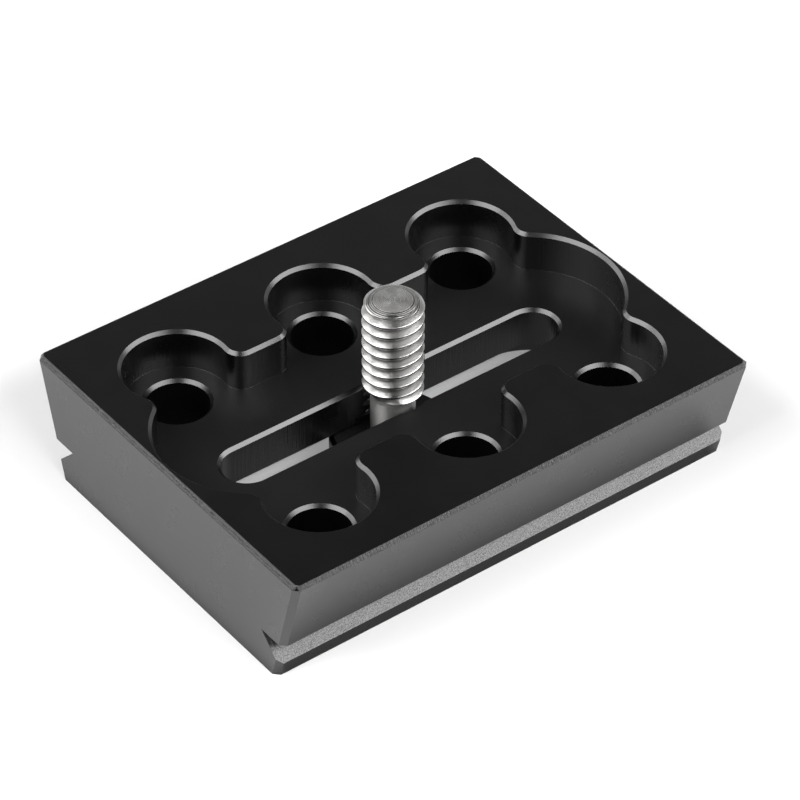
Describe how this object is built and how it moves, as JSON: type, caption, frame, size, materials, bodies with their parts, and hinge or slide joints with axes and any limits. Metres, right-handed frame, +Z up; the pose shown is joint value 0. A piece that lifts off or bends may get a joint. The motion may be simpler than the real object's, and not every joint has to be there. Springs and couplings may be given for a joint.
{
  "type": "dual dovetail mounting plate",
  "caption": "Milled plate with a narrow camera dovetail under a wider leaning one, a scalloped recess with through holes, and a captive screw that slides along its slot.",
  "frame": {"origin": "centre of the underside", "axes": "+X along the slot and the dovetails, +Y across them, +Z up out of the recess"},
  "size_m": [0.0562, 0.044, 0.0212],
  "materials": {
    "black_anodised": "satin black anodised, milled",
    "stainless": "bright turned"
  },
  "bodies": {
    "plate": {"dovetail_plate": "black_anodised"},
    "screw": {"captive_screw": "stainless"}
  },
  "joints": [
    {"name": "screw_slide", "type": "slide", "parent": "plate", "child": "screw", "axis": [1, 0, 0], "range_m": [-0.0182, 0.0182]}
  ]
}
